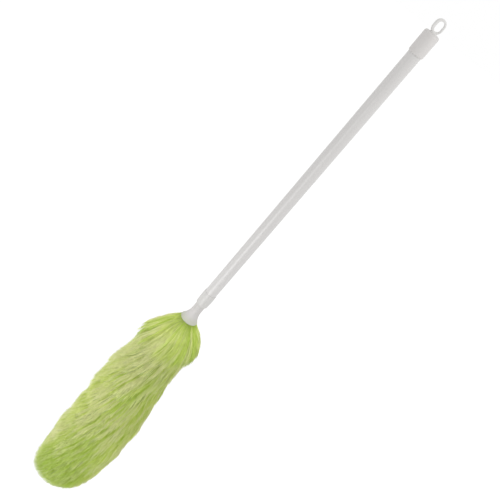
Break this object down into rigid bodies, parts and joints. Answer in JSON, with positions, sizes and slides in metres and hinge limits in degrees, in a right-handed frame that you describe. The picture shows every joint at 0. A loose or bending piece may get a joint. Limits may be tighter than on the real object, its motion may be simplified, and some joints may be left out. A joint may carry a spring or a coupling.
{
  "type": "extendable duster",
  "caption": "Fluffy duster head on a telescopic pole with a twist lock, tapered collar, end cap and swivelling hanging loop; the pole slides out to extend the reach.",
  "frame": {"origin": "the point inside the top of the hanging loop's hole where a hook bears", "axes": "+Z along the pole towards the loop, so the duster hangs down along -Z; Y is square to the loop's flat sides"},
  "size_m": [0.12, 0.1213, 1.0252],
  "materials": {
    "pole_coating": "smooth pale grey coating on the outer tube, soft sheen",
    "cap_plastic": "moulded, fine satin",
    "loop_plastic": "moulded, fine satin",
    "collar_plastic": "moulded, fine satin",
    "socket_plastic": "moulded, fine satin",
    "inner_tube_steel": "drawn steel tube, long fine lines",
    "plug_plastic": "moulded",
    "cam_plastic": "moulded, slightly grippy",
    "glide_nylon": "natural nylon",
    "pin_steel": "cut wire",
    "rod_plastic": "extruded rod",
    "binding_steel": "rolled band",
    "button_plastic": "moulded",
    "lime_fibre": "long silky lime green fibres in swept-back locks"
  },
  "bodies": {
    "loop": {"hanging_loop": "loop_plastic"},
    "pole": {"outer_tube": "pole_coating", "end_cap": "cap_plastic", "collar": "collar_plastic"},
    "glide": {"glide_ring": "glide_nylon"},
    "shaft": {"inner_tube": "inner_tube_steel", "lock_plug": "plug_plastic", "head_pin": "pin_steel", "head_socket": "socket_plastic", "core_rod": "rod_plastic", "skirt_binding": "binding_steel", "tip_button": "button_plastic", "skirt_fibres": "lime_fibre", "fibre_tier_1": "lime_fibre", "fibre_tier_2": "lime_fibre", "fibre_tier_3": "lime_fibre", "fibre_tier_4": "lime_fibre", "fibre_tier_5": "lime_fibre", "fibre_tier_6": "lime_fibre"},
    "cam": {"lock_cam": "cam_plastic"}
  },
  "joints": [
    {"name": "loop_swivel", "type": "hinge", "parent": "loop", "child": "pole", "pos_m": [0, 0, -0.0174], "axis": [0, 0, 1], "continuous": true},
    {"name": "telescope", "type": "slide", "parent": "pole", "child": "glide", "axis": [0, 0, -1], "range_m": [0, 0.45]},
    {"name": "tube_twist", "type": "hinge", "parent": "glide", "child": "shaft", "pos_m": [0, 0, -0.05], "axis": [0, 0, 1], "range_deg": [-65, 65]},
    {"name": "cam_turn", "type": "hinge", "parent": "shaft", "child": "cam", "pos_m": [0.0005, 0, -0.039], "axis": [0, 0, 1], "range_deg": [-65, 65]}
  ],
  "couplings": [
    {"joint": "cam_turn", "follows": "tube_twist", "ratio": -1}
  ]
}
